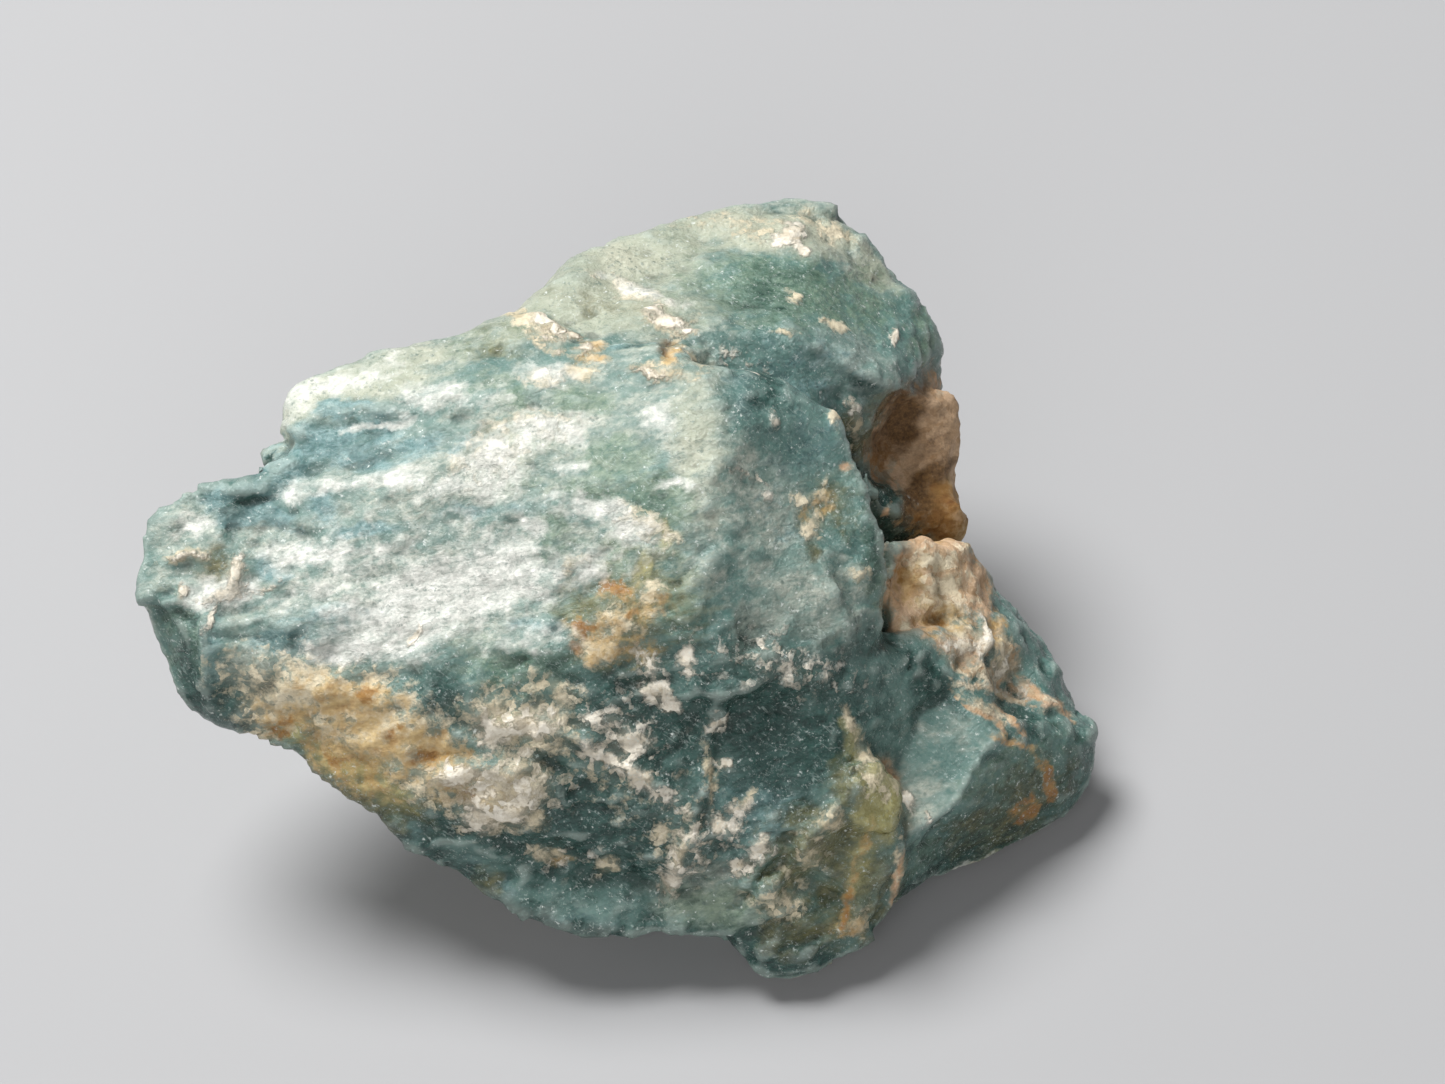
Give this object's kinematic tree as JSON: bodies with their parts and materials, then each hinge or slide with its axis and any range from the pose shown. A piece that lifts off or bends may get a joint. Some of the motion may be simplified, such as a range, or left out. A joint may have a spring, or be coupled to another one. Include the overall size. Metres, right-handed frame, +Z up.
{
  "type": "rough grandidierite crystal specimen",
  "caption": "Rough blue-green crystal lump grown with pale and rusty matrix, with ledges, pits and broken faces, resting on a flat face.",
  "frame": {"origin": "under the middle of the stone's bounding box, on the flat face that it rests on", "axes": "+X along the stone's length, from its narrow end to its broad end; +Z up from the resting face, which is the stone's shortest way; the pale top and the dark front break lean towards -Y"},
  "size_m": [0.029, 0.0212, 0.0158],
  "materials": {
    "grandidierite": "broken blue-green crystal, faintly translucent, with white and cream streaks and rusty stains"
  },
  "bodies": {
    "root": {"grandidierite_crystal": "grandidierite"}
  },
  "joints": []
}
